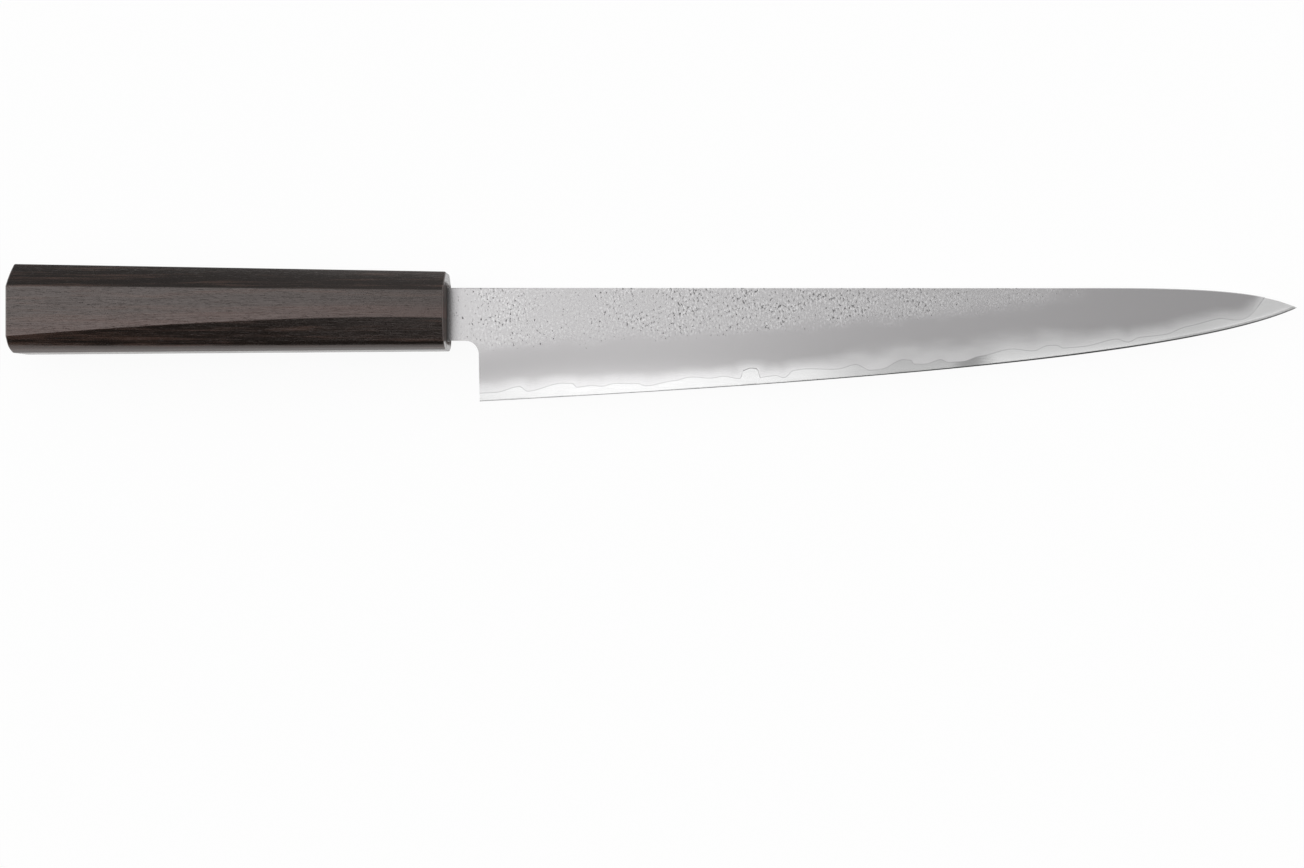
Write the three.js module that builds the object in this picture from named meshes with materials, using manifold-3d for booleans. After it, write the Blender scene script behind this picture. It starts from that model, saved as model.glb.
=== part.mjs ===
// Sujihiki slicing knife with a one-piece octagonal wooden handle, lying on its side.
// Millimetres. In the knife's own frame X runs to the tip, Y to the spine and Z across the blade:
// x = 0 is the front face of the handle, y = 0 the middle of that face, z = 0 the middle of the blade.
import * as THREE from 'three';
import { mergeVertices } from 'three/addons/utils/BufferGeometryUtils.js';
import Module from 'manifold-3d';

const wasm = await Module();
wasm.setup();

// Blade outline
const EDGE_LENGTH = 270;         // heel to tip
const HEEL_REACH = 10.6;         // handle front to heel
const BLADE_HEIGHT = 37.4;       // spine to edge, at the heel
const SPINE_RISE = 7.8;          // spine above the middle of the handle front
const TIP_DROP = 6.5;            // tip below the spine
const NECK_HEIGHT = 17.4;        // spine to the underside of the neck
const CHOIL_RADIUS = 4.6;        // rounding between the neck and the back of the heel
const CHOIL_SLANT = 0.5;         // lean of the back of the heel
const EDGE_PULL = 161;           // how far the edge keeps the slope it has at the heel
const EDGE_SLOPE = 0.052;
const BELLY_PULL = 28;           // the same, back from the tip
const BELLY_SLOPE = 0.452;
const SPINE_CURVE = 76;          // length of the curved stretch of the spine
const SPINE_PULL = 35;
const NOSE_PULL = 13;

// Blade section
const SPINE_THICKNESS = 2.3;     // at the neck
const TIP_THICKNESS = 0.59;      // where the taper of the spine ends
const CORE_THICKNESS = 0.6;
const GRIND_WIDTH = 17.6;        // edge to the line where the grind starts
const EDGE_BEVEL = 0.5;
const EDGE_BEVEL_THICKNESS = 0.28;
const EDGE_LAND = 0.02;          // thickness left on the very edge
const CLADDING_LAND = 0.03;      // thickness left on the lower rim of a cladding
const CLIMB = 6;                 // length over which the cladding rim climbs to the spine
const CORE_SLOPE = 0.08;         // how fast the bare core thickens above the edge bevel, at the tip

// Where the blade narrows to its tip, features keep to these shares of its height.
const GRIND_SHARE = 0.93;
const RIM_SHARE = 0.6;
const CLIMB_SHARE = 0.78;
const SHOULDER_SHARE = 0.6;
const BEVEL_SHARE = 0.3;

// Lower rim of the claddings: place as a share of the edge length, height above the edge.
// Each pair is a crest, a trough or a shoulder of the wavy line that forging leaves.
const CLADDING_RIM = [
  [0.000, 2.6], [0.020, 2.6], [0.048, 4.15], [0.059, 2.4], [0.099, 4.4], [0.113, 4.2],
  [0.119, 2.8], [0.137, 3.15], [0.150, 2.65], [0.164, 3.3], [0.193, 2.85], [0.204, 1.9],
  [0.238, 3.05], [0.257, 3.9], [0.284, 3.1], [0.297, 3.45], [0.319, 2.3], [0.3225, 4.9],
  [0.331, 5.5], [0.339, 5.2], [0.343, 2.2], [0.361, 2.5], [0.3725, 1.6], [0.3845, 3.75],
  [0.395, 3.95], [0.438, 3.1], [0.459, 4.1], [0.479, 1.75], [0.491, 1.9], [0.517, 4.4],
  [0.5265, 4.1], [0.531, 2.6], [0.546, 2.3], [0.563, 3.3], [0.574, 2.1], [0.591, 2],
  [0.613, 3.2], [0.648, 4.4], [0.679, 3], [0.694, 4.2], [0.704, 4], [0.715, 2.65],
  [0.740, 2.4], [0.777, 3.45], [0.794, 1.8], [0.806, 2.75], [0.839, 2.4], [0.865, 3.7],
  [0.900, 4.2], [0.933, 2.1], [0.960, 3.2],
];

// Tang and what holds it
const TANG_LENGTH = 96;          // behind the handle front
const TANG_TOP_STEP = 2.3;       // shoulder above the tang
const TANG_BOTTOM_STEP = 2.6;    // shoulder below the tang
const TANG_END_HEIGHT = 6.5;
const BED_HEIGHT_MARGIN = 0.9;   // resin above and below the tang
const BED_SIDE_MARGIN = 0.9;     // resin on each side of the tang
const BED_END_MARGIN = 4;        // resin behind the tang
const FIT = 0.1;                 // clearance between resin, tang and wood
const SEAL_THICKNESS = 0.25;     // handle front to the shoulder of the neck
const SEAL_LIP = 0.3;            // seal standing out around the neck and the resin
const TANG_ROOT = 2;             // tang reaching into the neck

// Handle
const HANDLE_LENGTH = 141.6;
const HANDLE_WIDTH = 21.5;
const FRONT_HEIGHT = 25.65;
const BUTT_HEIGHT = 29.2;
const BUTT_RISE = 0.7;           // middle of the butt above the middle of the front
const TOP_BEVEL_FRONT = 6.7;     // height of the upper bevels
const TOP_BEVEL_BUTT = 7.7;
const TOP_BEVEL_DEPTH = 6.4;     // their reach across the handle
const TOP_BEVEL_CROWN = 0.35;    // how far they bulge in the middle
const RIDGE_FRONT = 2.75;        // lower edge of the side facets, below the middle of the front
const RIDGE_BUTT = 8.95;
const RIDGE_BOW_BACK = 50;       // control point that bows this edge
const RIDGE_BOW_DROP = 1.4;
const LOWER_LEAN = 2.0;          // lean of the lower facets
const BELLY_FRONT = 1.1;         // height of the bevels along the bottom
const BELLY_BUTT = 1.45;
const BOTTOM_WIDTH = 11;
const FRONT_CHAMFER = 0.3;
const BUTT_CHAMFER = 0.4;

// How finely the curved stretches are cut up, and how far cutting solids reach past what they cut
const HANDLE_STEPS = 18;
const CROWN_STEPS = [0, 0.25, 0.5, 0.75, 1];
const ARC_STEPS = 10;
const GRIND_STEPS = [1, 0.75, 0.5, 0.25];
const CLIMB_STEPS = [-0.003, -0.001, 0];
const NOSE_STEPS = [0.3, 0.55, 0.75, 0.9, 0.985];
const CUT_MARGIN = 5;
const WELD = 1e-5;

const heelY = SPINE_RISE - BLADE_HEIGHT;
const neckY = SPINE_RISE - NECK_HEIGHT;
const tipX = HEEL_REACH + EDGE_LENGTH;
const tipY = SPINE_RISE - TIP_DROP;
const halfSpine = SPINE_THICKNESS / 2;
const halfCore = CORE_THICKNESS / 2;
const halfBevel = EDGE_BEVEL_THICKNESS / 2;

const edgeCurve = new THREE.CubicBezierCurve(
  new THREE.Vector2(HEEL_REACH, heelY),
  new THREE.Vector2(HEEL_REACH + EDGE_PULL, heelY + EDGE_PULL * EDGE_SLOPE),
  new THREE.Vector2(tipX - BELLY_PULL, tipY - BELLY_PULL * BELLY_SLOPE),
  new THREE.Vector2(tipX, tipY),
);
const spineCurve = new THREE.CubicBezierCurve(
  new THREE.Vector2(tipX - SPINE_CURVE, SPINE_RISE),
  new THREE.Vector2(tipX - SPINE_CURVE + SPINE_PULL, SPINE_RISE),
  new THREE.Vector2(tipX - NOSE_PULL, SPINE_RISE),
  new THREE.Vector2(tipX, tipY),
);
const ridgeCurve = new THREE.QuadraticBezierCurve(
  new THREE.Vector2(-HANDLE_LENGTH, -RIDGE_BUTT),
  new THREE.Vector2(-RIDGE_BOW_BACK, -RIDGE_BOW_DROP),
  new THREE.Vector2(0, -RIDGE_FRONT),
);

// Height of a curve that runs along X, held level outside its ends.
function heightAt(curve, x) {
  let low = 0;
  let high = 1;
  for (let step = 0; step < 40; step += 1) {
    const middle = (low + high) / 2;
    if (curve.getPoint(middle).x < x) low = middle;
    else high = middle;
  }
  return curve.getPoint((low + high) / 2).y;
}

// Closed skin through rings of [y, z] points, each ring anticlockwise seen from +X.
function loft(rings) {
  const count = rings[0].points.length;
  const positions = [];
  const index = [];
  for (const ring of rings) {
    for (const [y, z] of ring.points) positions.push(ring.x, y, z);
  }
  for (let i = 0; i + 1 < rings.length; i += 1) {
    for (let j = 0; j < count; j += 1) {
      const here = i * count + j;
      const beside = i * count + ((j + 1) % count);
      index.push(here, beside, beside + count, here, beside + count, here + count);
    }
  }
  const cap = (ring, flip) => {
    const contour = rings[ring].points.map(([y, z]) => new THREE.Vector2(y, z));
    for (const [a, b, c] of THREE.ShapeUtils.triangulateShape(contour, [])) {
      const corners = flip ? [c, b, a] : [a, b, c];
      index.push(...corners.map((corner) => ring * count + corner));
    }
  };
  cap(0, true);
  cap(rings.length - 1, false);
  const geometry = new THREE.BufferGeometry();
  geometry.setAttribute('position', new THREE.Float32BufferAttribute(positions, 3));
  geometry.setIndex(index);
  return geometry;
}

function extrude(shape, from, to) {
  const settings = { depth: to - from, bevelEnabled: false, curveSegments: ARC_STEPS };
  return new THREE.ExtrudeGeometry(shape, settings).translate(0, 0, from);
}

function box(low, high) {
  const size = high.map((value, axis) => value - low[axis]);
  const middle = high.map((value, axis) => (value + low[axis]) / 2);
  return new THREE.BoxGeometry(...size).translate(...middle);
}

function solid(geometry) {
  const bare = geometry.clone();
  bare.deleteAttribute('normal');
  bare.deleteAttribute('uv');
  const merged = mergeVertices(bare, WELD);
  return new wasm.Manifold(new wasm.Mesh({
    numProp: 3,
    vertProperties: new Float32Array(merged.attributes.position.array),
    triVerts: new Uint32Array(merged.index.array),
  }));
}

function surface(body) {
  const mesh = body.getMesh();
  const geometry = new THREE.BufferGeometry();
  geometry.setAttribute('position', new THREE.Float32BufferAttribute(mesh.vertProperties, 3));
  geometry.setIndex(Array.from(mesh.triVerts));
  const flat = geometry.toNonIndexed();
  flat.computeVertexNormals();
  return flat;
}

// How fast each face of the blade falls towards the tip, and where the cladding rim meets the spine.
const taper = (halfSpine - TIP_THICKNESS / 2) / EDGE_LENGTH;
const rimEnd = Math.min((halfSpine - halfCore - CLADDING_LAND) / taper / EDGE_LENGTH, NOSE_STEPS.at(-1));

// Height of the cladding rim before its climb: level at every crest and trough.
function wavyRim(share) {
  const next = CLADDING_RIM.findIndex(([place]) => place >= share);
  if (next === 0) return CLADDING_RIM[0][1];
  if (next < 0) return CLADDING_RIM.at(-1)[1];
  const [fromShare, from] = CLADDING_RIM[next - 1];
  const [toShare, to] = CLADDING_RIM[next];
  const way = (share - fromShare) / (toShare - fromShare);
  return from + (to - from) * (1 - Math.cos(Math.PI * way)) / 2;
}

// The sizes of one blade section.
function section(x) {
  const share = Math.max(0, (x - HEEL_REACH) / EDGE_LENGTH);
  const edge = heightAt(edgeCurve, x);
  const spine = heightAt(spineCurve, x);
  const height = spine - edge;
  const halfThickness = halfSpine - taper * share * EDGE_LENGTH;
  const grind = Math.min(GRIND_WIDTH, height * GRIND_SHARE);
  const climb = Math.max(0, 1 - (rimEnd - share) * EDGE_LENGTH / CLIMB);
  const wave = Math.min(wavyRim(share), height * RIM_SHARE);
  const rim = wave + (height * CLIMB_SHARE - wave) * Math.min(1, climb) ** 2;
  return { edge, spine, height, halfThickness, grind, rim };
}

function bladeStations() {
  const shares = [];
  CLADDING_RIM.forEach(([place], i) => {
    if (i > 0) shares.push((CLADDING_RIM[i - 1][0] + place) / 2);
    shares.push(place);
  });
  const along = shares.filter((share) => share < rimEnd + 2 * CLIMB_STEPS[0]);
  const climbing = CLIMB_STEPS.map((step) => rimEnd + step);
  const nose = NOSE_STEPS.map((way) => rimEnd + (1 - rimEnd) * way);
  const at = (share) => HEEL_REACH + share * EDGE_LENGTH;
  const clad = [SEAL_THICKNESS, ...along.map(at), ...climbing.map(at)];
  return { clad, full: [...clad, ...nose.map(at)] };
}

// Half thickness of the bare core at the tip, by height above the edge.
function bareHalf(height) {
  return Math.min(halfCore, halfBevel + CORE_SLOPE * (height - EDGE_BEVEL));
}

function coreRing(x) {
  const { edge, spine, height, rim } = section(x);
  const bare = (x - HEEL_REACH) / EDGE_LENGTH > rimEnd;
  const shoulder = bare ? height * SHOULDER_SHARE : rim;
  const shoulderHalf = bare ? bareHalf(shoulder) : halfCore;
  const bevel = Math.min(EDGE_BEVEL, height * BEVEL_SHARE);
  const side = [
    [edge, EDGE_LAND / 2],
    [edge + bevel, Math.min(halfBevel, (shoulderHalf + EDGE_LAND) / 2)],
    [edge + shoulder, shoulderHalf],
    [spine, bare ? bareHalf(height) : halfCore],
  ];
  const mirrored = side.map(([y, z]) => [y, -z]);
  return { x, points: [...mirrored, ...side.reverse()] };
}

// The grind swells from the rim up to the unground flat as a parabola.
function claddingRing(x, hand) {
  const { edge, spine, halfThickness, grind, rim } = section(x);
  const low = halfCore + CLADDING_LAND;
  const outer = GRIND_STEPS.map((way) => {
    const fall = 1 - way;
    return [edge + rim + (grind - rim) * way, low + (halfThickness - low) * (1 - fall * fall)];
  });
  const inner = [[edge + rim, halfCore], [spine, halfCore], [spine, halfThickness]];
  const points = [...inner, ...outer, [edge + rim, low]];
  const placed = points.map(([y, z]) => [y, z * hand]);
  return { x, points: hand > 0 ? placed : placed.reverse() };
}

// Space behind the heel and under the neck.
function choilShape() {
  const below = heelY - CUT_MARGIN;
  const backX = HEEL_REACH - CHOIL_SLANT;
  const shape = new THREE.Shape();
  shape.moveTo(-CUT_MARGIN, neckY);
  shape.lineTo(backX - CHOIL_RADIUS, neckY);
  shape.absarc(backX - CHOIL_RADIUS, neckY - CHOIL_RADIUS, CHOIL_RADIUS, Math.PI / 2, 0, true);
  shape.lineTo(HEEL_REACH, heelY);
  shape.lineTo(HEEL_REACH, below);
  shape.lineTo(-CUT_MARGIN, below);
  return shape;
}

const tangTop = SPINE_RISE - TANG_TOP_STEP;
const tangBottom = neckY + TANG_BOTTOM_STEP;
const tangMiddle = (tangTop + tangBottom) / 2;
const bedTop = tangTop + BED_HEIGHT_MARGIN;
const bedBottom = tangBottom - BED_HEIGHT_MARGIN;
const bedHalf = halfSpine + BED_SIDE_MARGIN;

// Tang seen from the side, from inside the neck to its end, grown by a clearance.
function tangShape(frontX, grow) {
  const shape = new THREE.Shape();
  shape.moveTo(frontX, tangBottom - grow);
  shape.lineTo(frontX, tangTop + grow);
  shape.lineTo(0, tangTop + grow);
  shape.lineTo(-TANG_LENGTH - grow, tangMiddle + TANG_END_HEIGHT / 2 + grow);
  shape.lineTo(-TANG_LENGTH - grow, tangMiddle - TANG_END_HEIGHT / 2 - grow);
  shape.lineTo(0, tangBottom - grow);
  return shape;
}

const stations = bladeStations();
const choil = solid(extrude(choilShape(), -SPINE_THICKNESS, SPINE_THICKNESS));
const tangRoot = SEAL_THICKNESS + TANG_ROOT;

function coreSteel() {
  const blade = solid(loft(stations.full.map(coreRing)));
  const tang = solid(extrude(tangShape(tangRoot, 0), -halfCore, halfCore));
  return surface(blade.subtract(choil).add(tang));
}

function cladding(hand) {
  const blade = solid(loft(stations.clad.map((x) => claddingRing(x, hand))));
  const [near, far] = [halfCore * hand, halfSpine * hand];
  const tang = solid(extrude(tangShape(tangRoot, 0), Math.min(near, far), Math.max(near, far)));
  return surface(blade.subtract(choil).add(tang));
}

// Box that the resin fills, grown by a clearance, from its closed end to the handle front.
function bedBox(grow, frontX) {
  return box(
    [-TANG_LENGTH - BED_END_MARGIN - grow, bedBottom - grow, -bedHalf - grow],
    [frontX, bedTop + grow, bedHalf + grow],
  );
}

function tangBed() {
  const pocket = solid(extrude(tangShape(CUT_MARGIN, FIT), -halfSpine - FIT, halfSpine + FIT));
  return surface(solid(bedBox(0, 0)).subtract(pocket));
}

function mouthSeal() {
  const top = Math.max(SPINE_RISE, bedTop) + SEAL_LIP;
  const bottom = Math.min(neckY, bedBottom) - SEAL_LIP;
  const half = bedHalf + SEAL_LIP;
  const plate = solid(box([0, bottom, -half], [SEAL_THICKNESS, top, half]));
  const hole = solid(extrude(tangShape(CUT_MARGIN, FIT), -halfSpine - FIT, halfSpine + FIT));
  return surface(plate.subtract(hole));
}

// Crowned upper bevel, from the side facet up to the flat along the top.
function topBevel(top, height) {
  const length = Math.hypot(height, TOP_BEVEL_DEPTH);
  return CROWN_STEPS.map((way) => {
    const bulge = TOP_BEVEL_CROWN * 4 * way * (1 - way);
    return [
      top - height * (1 - way) + bulge * TOP_BEVEL_DEPTH / length,
      HANDLE_WIDTH / 2 - TOP_BEVEL_DEPTH * way + bulge * height / length,
    ];
  });
}

// Octagonal handle section with bevels along the bottom, shrunk by an inset for the chamfered ends.
function handleRing(x, inset) {
  const back = -x / HANDLE_LENGTH;
  const mix = (front, butt) => front + (butt - front) * back;
  const middle = mix(0, BUTT_RISE);
  const half = mix(FRONT_HEIGHT, BUTT_HEIGHT) / 2;
  const halfWidth = HANDLE_WIDTH / 2;
  const side = [
    [middle - half, BOTTOM_WIDTH / 2],
    [middle - half + mix(BELLY_FRONT, BELLY_BUTT), halfWidth - LOWER_LEAN],
    [heightAt(ridgeCurve, x), halfWidth],
    ...topBevel(middle + half, mix(TOP_BEVEL_FRONT, TOP_BEVEL_BUTT)),
  ].map(([y, z]) => [
    middle + (y - middle) * (1 - inset / half),
    z * (1 - inset / halfWidth),
  ]);
  const mirrored = side.map(([y, z]) => [y, -z]);
  return { x, points: [...mirrored, ...side.reverse()] };
}

function handleBody() {
  const facetLength = HANDLE_LENGTH - FRONT_CHAMFER - BUTT_CHAMFER;
  const rings = [handleRing(-HANDLE_LENGTH, BUTT_CHAMFER)];
  for (let step = HANDLE_STEPS; step >= 0; step -= 1) {
    rings.push(handleRing(-FRONT_CHAMFER - facetLength * step / HANDLE_STEPS, 0));
  }
  rings.push(handleRing(0, FRONT_CHAMFER));
  return surface(solid(loft(rings)).subtract(solid(bedBox(FIT, CUT_MARGIN))));
}

const coreFinish = new THREE.MeshStandardMaterial({ color: 0xd4d6d8, metalness: 1, roughness: 0.25 });
const claddingFinish = new THREE.MeshStandardMaterial({ color: 0xb4b6b8, metalness: 1, roughness: 0.4 });
const woodFinish = new THREE.MeshStandardMaterial({ color: 0x3a302c, metalness: 0, roughness: 0.45 });
const resinFinish = new THREE.MeshStandardMaterial({ color: 0x6b5a3a, metalness: 0, roughness: 0.5 });
const sealFinish = new THREE.MeshStandardMaterial({ color: 0x1c1917, metalness: 0, roughness: 0.5 });

const knife = new THREE.Group();
knife.name = 'sujihiki_knife';

function piece(name, geometry, material) {
  const mesh = new THREE.Mesh(geometry, material);
  mesh.name = name;
  knife.add(mesh);
}

piece('core_steel', coreSteel(), coreFinish);
piece('right_cladding', cladding(1), claddingFinish);
piece('left_cladding', cladding(-1), claddingFinish);
piece('handle_body', handleBody(), woodFinish);
piece('tang_bed', tangBed(), resinFinish);
piece('mouth_seal', mouthSeal(), sealFinish);

// The origin is the middle of the side facet that the knife lies on.
knife.position.set(HANDLE_LENGTH / 2, 0, HANDLE_WIDTH / 2);

const part = new THREE.Group();
part.add(knife);

export default part;
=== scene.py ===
"""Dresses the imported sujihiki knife: core, claddings, handle, mouth seal, resin and stage.

Everything is in metres, in the row frame: the knife lies on its side with X to the tip,
Y to the spine and Z up. Sizes of the blade and the handle are taken in the knife's own
frame, which starts at the handle front, in the middle plane of the blade.
"""

import math

import bmesh
import bpy
import numpy as np
from bpy.props import FloatProperty, FloatVectorProperty, PointerProperty
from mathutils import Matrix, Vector


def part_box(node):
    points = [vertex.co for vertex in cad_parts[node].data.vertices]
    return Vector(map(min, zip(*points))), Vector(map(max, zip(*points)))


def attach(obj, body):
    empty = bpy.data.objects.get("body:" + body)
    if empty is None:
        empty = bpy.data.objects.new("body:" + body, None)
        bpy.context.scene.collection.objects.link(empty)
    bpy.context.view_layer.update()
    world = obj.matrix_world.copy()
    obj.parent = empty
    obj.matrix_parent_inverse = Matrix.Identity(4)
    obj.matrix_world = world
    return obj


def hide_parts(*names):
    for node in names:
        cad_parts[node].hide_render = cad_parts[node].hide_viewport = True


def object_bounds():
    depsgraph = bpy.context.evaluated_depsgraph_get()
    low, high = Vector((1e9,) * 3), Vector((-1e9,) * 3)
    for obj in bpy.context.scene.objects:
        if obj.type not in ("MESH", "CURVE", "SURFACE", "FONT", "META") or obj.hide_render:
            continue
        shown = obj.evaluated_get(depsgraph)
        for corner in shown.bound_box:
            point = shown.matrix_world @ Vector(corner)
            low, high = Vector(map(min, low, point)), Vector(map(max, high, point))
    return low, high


bl_info = {
    "name": "Sujihiki knife",
    "version": (1, 0, 0),
    "blender": (4, 5, 0),
    "location": "View3D > Sidebar > Knife",
    "description": "Builds a slicing knife with a clad blade and an octagonal wooden handle",
    "category": "Add Mesh",
}

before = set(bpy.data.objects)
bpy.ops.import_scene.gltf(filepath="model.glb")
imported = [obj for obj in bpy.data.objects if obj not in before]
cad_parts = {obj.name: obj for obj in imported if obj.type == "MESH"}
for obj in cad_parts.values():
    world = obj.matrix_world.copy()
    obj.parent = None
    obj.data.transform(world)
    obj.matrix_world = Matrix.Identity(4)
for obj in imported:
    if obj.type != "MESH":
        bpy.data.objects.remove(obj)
CAD_LOW, CAD_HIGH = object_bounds()
WOOD_LOW, WOOD_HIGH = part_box("handle_body")
SEAL_LOW, SEAL_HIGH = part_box("mouth_seal")

MM = 0.001
TINY = 1e-7
HANDLE_FRONT = WOOD_HIGH.x
MIDDLE = (WOOD_LOW.z + WOOD_HIGH.z) / 2
SEAL_THICKNESS = SEAL_HIGH.x - SEAL_LOW.x
HANDLE_LENGTH = WOOD_HIGH.x - WOOD_LOW.x
HANDLE_WIDTH = WOOD_HIGH.z - WOOD_LOW.z
RIM_REACH = 8 * MM

# Fineness of the meshes.
WELD = 0.002 * MM
BLADE_STEP = 0.55 * MM
RIM_STEP = 0.04 * MM
CURVE_POINTS = 801
RIDGE_POINTS = 201
CHOIL_STEPS = 12
FACET_RINGS = 49
ROUND_SEGMENTS = 3
CRISP_ANGLE = math.radians(32)

# Lower rim of the claddings: share of the edge length, height above the edge in millimetres.
RIM_WAVES = (
    (0.000, 2.6), (0.020, 2.6), (0.048, 4.15), (0.059, 2.4), (0.099, 4.4), (0.113, 4.2),
    (0.119, 2.8), (0.137, 3.15), (0.150, 2.65), (0.164, 3.3), (0.193, 2.85), (0.204, 1.9),
    (0.238, 3.05), (0.257, 3.9), (0.284, 3.1), (0.297, 3.45), (0.319, 2.3), (0.3225, 4.9),
    (0.331, 5.5), (0.339, 5.2), (0.343, 2.2), (0.361, 2.5), (0.3725, 1.6), (0.3845, 3.75),
    (0.395, 3.95), (0.438, 3.1), (0.459, 4.1), (0.479, 1.75), (0.491, 1.9), (0.517, 4.4),
    (0.5265, 4.1), (0.531, 2.6), (0.546, 2.3), (0.563, 3.3), (0.574, 2.1), (0.591, 2.0),
    (0.613, 3.2), (0.648, 4.4), (0.679, 3.0), (0.694, 4.2), (0.704, 4.0), (0.715, 2.65),
    (0.740, 2.4), (0.777, 3.45), (0.794, 1.8), (0.806, 2.75), (0.839, 2.4), (0.865, 3.7),
    (0.900, 4.2), (0.933, 2.1), (0.960, 3.2),
)


# Properties


def size(name, description, value):
    """A length in metres that the user may change."""
    return FloatProperty(
        name=name, description=description, default=value, min=0, precision=5, unit="LENGTH"
    )


def amount(name, description, value, high=1.0):
    """A bare number that the user may change."""
    return FloatProperty(
        name=name, description=description, default=value, min=0, max=high, subtype="FACTOR"
    )


def colour(name, description, value):
    """A colour that the user may change."""
    return FloatVectorProperty(
        name=name, description=description, default=value, min=0, max=1, size=3, subtype="COLOR"
    )


class BladeSizes(bpy.types.PropertyGroup):
    """Sizes of the blade and its tang."""

    edge_length: size("Edge length", "Heel to tip", 270 * MM)
    heel_reach: size("Heel reach", "Handle front to heel", 10.6 * MM)
    blade_height: size("Blade height", "Spine to edge, at the heel", 37.4 * MM)
    spine_rise: size("Spine rise", "Spine above the handle's middle", 7.8 * MM)
    tip_drop: size("Tip drop", "Tip below the spine", 6.5 * MM)
    neck_height: size("Neck height", "Spine to the underside of the neck", 17.4 * MM)
    choil_radius: size("Choil radius", "Rounding between neck and heel", 4.6 * MM)
    choil_slant: size("Choil slant", "Lean of the back of the heel", 0.2 * MM)
    edge_pull: size("Edge pull", "Straightness of the edge at the heel", 161 * MM)
    edge_slope: amount("Edge slope", "Rise of the edge at the heel", 0.052)
    belly_pull: size("Belly pull", "Straightness of the edge at the tip", 28 * MM)
    belly_slope: amount("Belly slope", "Rise of the edge at the tip", 0.452)
    spine_curve: size("Spine curve", "Length of the spine's curve", 76 * MM)
    spine_pull: size("Spine pull", "Straightness of the start of the curve", 35 * MM)
    nose_pull: size("Nose pull", "Straightness of the end of the curve", 13 * MM)
    spine_thickness: size("Spine thickness", "At the neck", 2.3 * MM)
    tip_thickness: size("Tip thickness", "Where the taper of the spine ends", 0.59 * MM)
    core_thickness: size("Core thickness", "Hard layer between the claddings", 0.6 * MM)
    grind_width: size("Grind width", "Edge to the top of the grind", 17.6 * MM)
    grind_slope: amount("Grind slope", "Just above the edge bevel", 0.117)
    heel_bevel: size("Edge bevel, heel", "Height of the edge bevel", 0.09 * MM)
    tip_bevel: size("Edge bevel, tip", "Height of the edge bevel", 0.55 * MM)
    bevel_growth: amount("Bevel growth", "Share of the edge that it takes", 0.75)
    bevel_slope: amount("Bevel slope", "Half thickness gained per height", 0.25)
    edge_land: size("Edge land", "Half thickness left on the very edge", 0.01 * MM)
    spine_ease: size("Spine ease", "Rounding of the corners of the spine", 0.25 * MM)
    climb: size("Rim climb", "Length of the rim's climb to the spine", 7.5 * MM)
    tang_length: size("Tang length", "Behind the handle front", 96 * MM)
    tang_top_step: size("Upper shoulder", "Step from the spine to the tang", 2.3 * MM)
    tang_bottom_step: size("Lower shoulder", "Step from the neck to the tang", 2.6 * MM)
    tang_end_height: size("Tang end", "Height of the end of the tang", 6.5 * MM)


class HandleSizes(bpy.types.PropertyGroup):
    """Sizes of the wooden handle, its slot and the seal at its mouth."""

    length: size("Length", "Butt to front", HANDLE_LENGTH)
    width: size("Width", "Across the side facets", HANDLE_WIDTH)
    front_height: size("Front height", "Top to bottom at the front", 25.65 * MM)
    butt_height: size("Butt height", "Top to bottom at the butt", 29.2 * MM)
    butt_rise: size("Butt rise", "Butt's middle above the front's", 0.7 * MM)
    top_bevel_front: size("Top bevel, front", "Height of the upper bevel", 6.7 * MM)
    top_bevel_butt: size("Top bevel, butt", "Height of the upper bevel", 7.7 * MM)
    top_bevel_depth: size("Top bevel depth", "Reach of the upper bevel across", 6.4 * MM)
    top_bevel_crown: size("Top bevel crown", "Bulge of the upper bevel", 0.35 * MM)
    ridge_front: size("Ridge, front", "Side facet's lower edge below the middle", 2.75 * MM)
    ridge_butt: size("Ridge, butt", "Side facet's lower edge below the middle", 8.95 * MM)
    ridge_bow_back: size("Ridge bow place", "Bow of the ridge, behind the front", 50 * MM)
    ridge_bow_drop: size("Ridge bow drop", "Bow of the ridge, below the middle", 1.4 * MM)
    lower_lean: size("Lower lean", "Lean of the lower facet", 2.0 * MM)
    belly_front: size("Belly bevel, front", "Height of the bottom bevel", 1.1 * MM)
    belly_butt: size("Belly bevel, butt", "Height of the bottom bevel", 1.45 * MM)
    belly_round: size("Belly rounding", "Reach of the rounding above the bevel", 1.9 * MM)
    bottom_width: size("Bottom width", "Flat along the bottom", 11 * MM)
    front_chamfer: size("Front chamfer", "Around the front face", 0.3 * MM)
    butt_chamfer: size("Butt chamfer", "Around the butt", 0.4 * MM)
    edge_ease: size("Edge ease", "Rounding of the edges between facets", 0.25 * MM)
    bed_margin: size("Resin margin", "Resin above and beside the tang", 0.9 * MM)
    bed_end: size("Resin end", "Resin behind the tang", 4 * MM)
    fit: size("Fit", "Clearance between wood, resin and tang", 0.1 * MM)
    seal_lip: size("Seal lip", "Seal standing out around neck and resin", 0.3 * MM)
    seal_ease: size("Seal ease", "Rounding of the seal's outer corners", 0.1 * MM)


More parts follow.
